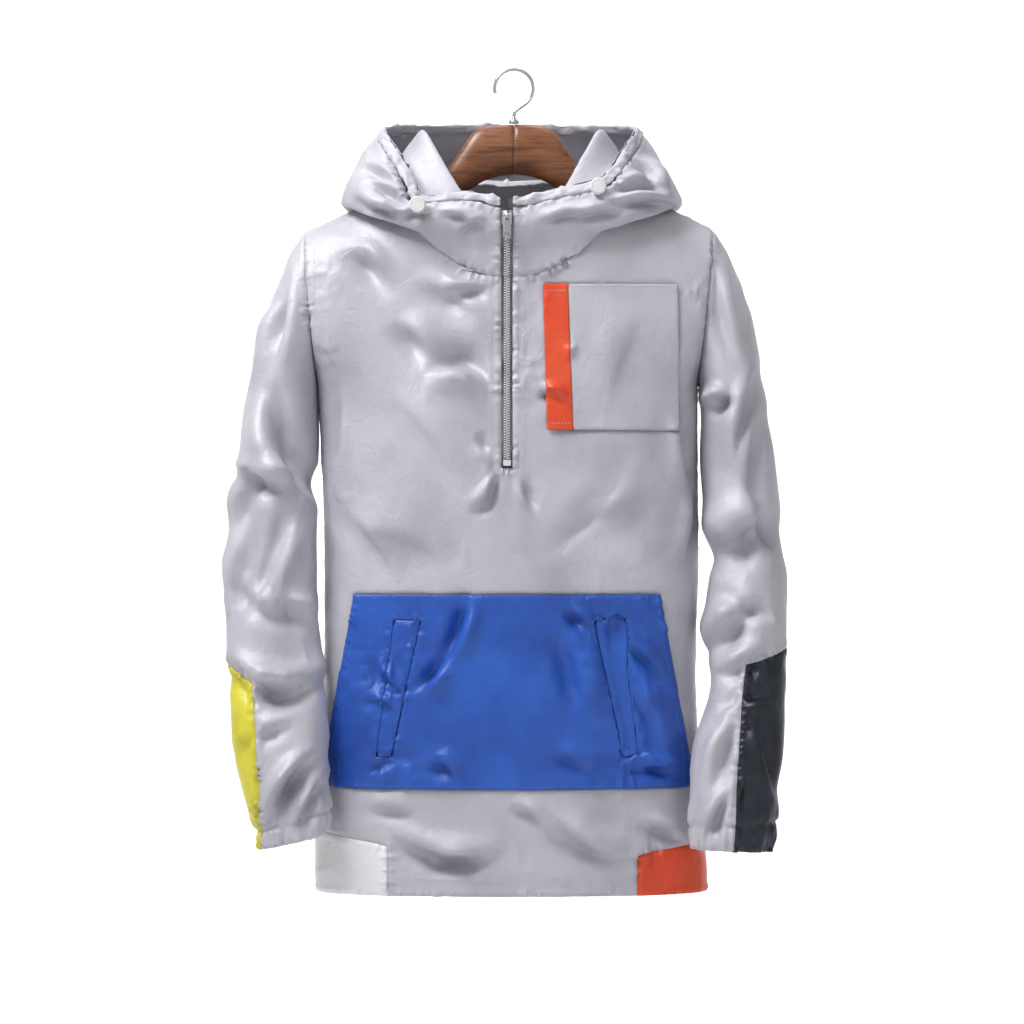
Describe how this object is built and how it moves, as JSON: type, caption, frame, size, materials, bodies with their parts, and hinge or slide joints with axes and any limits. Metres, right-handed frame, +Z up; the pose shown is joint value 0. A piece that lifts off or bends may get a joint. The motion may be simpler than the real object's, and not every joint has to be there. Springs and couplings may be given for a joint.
{
  "type": "windbreaker jacket on a hanger",
  "caption": "Hooded pullover windbreaker with a half zip, kangaroo pocket and chest pocket, hanging empty on a wooden hanger that hooks on a rail.",
  "frame": {"origin": "the inside of the hook's crown, where the rail carries it", "axes": "+Z up, the garment's front faces -Y, +X is the wearer's left side"},
  "size_m": [0.5732, 0.2437, 0.8419],
  "materials": {
    "silver_nylon": "soft sheen",
    "navy_nylon": "soft sheen",
    "yellow_nylon": "soft sheen",
    "orange_nylon": "soft sheen",
    "white_nylon": "soft sheen",
    "blue_nylon": "soft sheen",
    "label_tape": "matte",
    "zip_tape": "matte",
    "zip_coil": "satin",
    "zip_metal": "satin",
    "stopper_plastic": "gloss",
    "hanger_wood": "satin lacquer",
    "hook_steel": "polished"
  },
  "bodies": {
    "garment": {"back": "silver_nylon", "front": "silver_nylon", "sleeve_left": "silver_nylon", "sleeve_right": "silver_nylon", "chest_pocket": "silver_nylon", "hood_left": "silver_nylon", "hood_right": "silver_nylon", "hood_facing_left": "silver_nylon", "hood_facing_right": "silver_nylon", "hood_tunnel_left": "silver_nylon", "hood_tunnel_right": "silver_nylon", "forearm_panel_left": "navy_nylon", "forearm_panel_right": "yellow_nylon", "hem_panel_left": "orange_nylon", "chest_pocket_band": "orange_nylon", "hem_panel_right": "white_nylon", "kangaroo_pocket": "blue_nylon", "pocket_welt_left": "blue_nylon", "pocket_welt_right": "blue_nylon", "neck_label": "label_tape", "zip_tape_left": "zip_tape", "zip_tape_right": "zip_tape", "zip_teeth": "zip_coil", "zip_stop": "zip_coil", "zip_slider": "zip_metal", "cord_stopper_left": "stopper_plastic", "cord_stopper_right": "stopper_plastic", "hanger_left": "hanger_wood", "hanger_right": "hanger_wood", "hanger_hook": "hook_steel"},
    "zip_pull": {"zip_pull": "zip_metal"}
  },
  "joints": [
    {"name": "zip_pull_swing", "type": "hinge", "parent": "garment", "child": "zip_pull", "pos_m": [-0.007, -0.0816, -0.156], "axis": [-1, 0, 0], "range_deg": [0, 150]}
  ]
}
